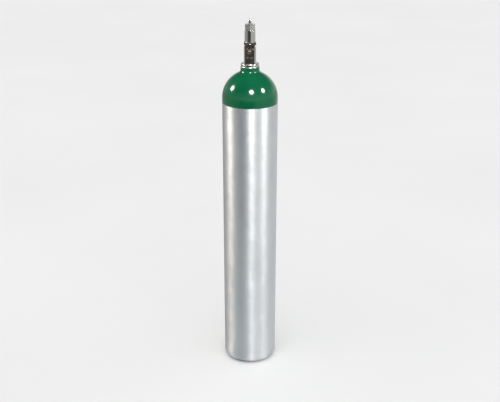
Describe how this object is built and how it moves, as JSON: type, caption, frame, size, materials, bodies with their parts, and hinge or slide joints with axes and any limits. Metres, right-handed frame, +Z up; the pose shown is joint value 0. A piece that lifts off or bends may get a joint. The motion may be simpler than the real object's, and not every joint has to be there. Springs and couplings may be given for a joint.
{
  "type": "oxygen cylinder",
  "caption": "Slim upright aluminium gas cylinder with a green domed shoulder and a key-operated post valve with a pin-index outlet.",
  "frame": {"origin": "centre of the standing ring under the base, on the floor", "axes": "+Z up along the cylinder; the valve's outlet face looks along -Y and its screw seat along +Y"},
  "size_m": [0.1116, 0.1116, 0.741],
  "materials": {
    "aluminium": "bare, finely brushed",
    "green_enamel": "gloss enamel",
    "chrome": "chrome-plated brass, lightly worn",
    "brass": "machined",
    "rubber": "matt",
    "nylon": "off-white nylon",
    "ptfe": "white PTFE",
    "copper": "rolled copper foil",
    "fusible_alloy": "grey low-melting alloy"
  },
  "bodies": {
    "cylinder": {"cylinder_shell": "aluminium", "shoulder_enamel": "green_enamel", "neck_o_ring": "rubber", "valve_body": "chrome", "debris_tube": "brass", "thrust_washer": "nylon", "stem_packing": "ptfe", "gland_ring": "brass", "packing_nut": "chrome", "burst_disc": "copper", "disc_gasket": "ptfe", "safety_plug": "chrome", "fusible_core": "fusible_alloy"},
    "stem": {"valve_stem": "chrome"},
    "seat_plug": {"lower_plug": "brass", "seat_disc": "nylon"}
  },
  "joints": [
    {"name": "stem_turn", "type": "hinge", "parent": "cylinder", "child": "stem", "pos_m": [0, 0, 0.7034], "axis": [0, 0, 1], "range_deg": [0, 540]},
    {"name": "plug_lift", "type": "slide", "parent": "stem", "child": "seat_plug", "axis": [0, 0, 1], "range_m": [0, 0.00191]}
  ],
  "couplings": [
    {"joint": "plug_lift", "follows": "stem_turn", "m_per_rad": 0.00020213}
  ]
}
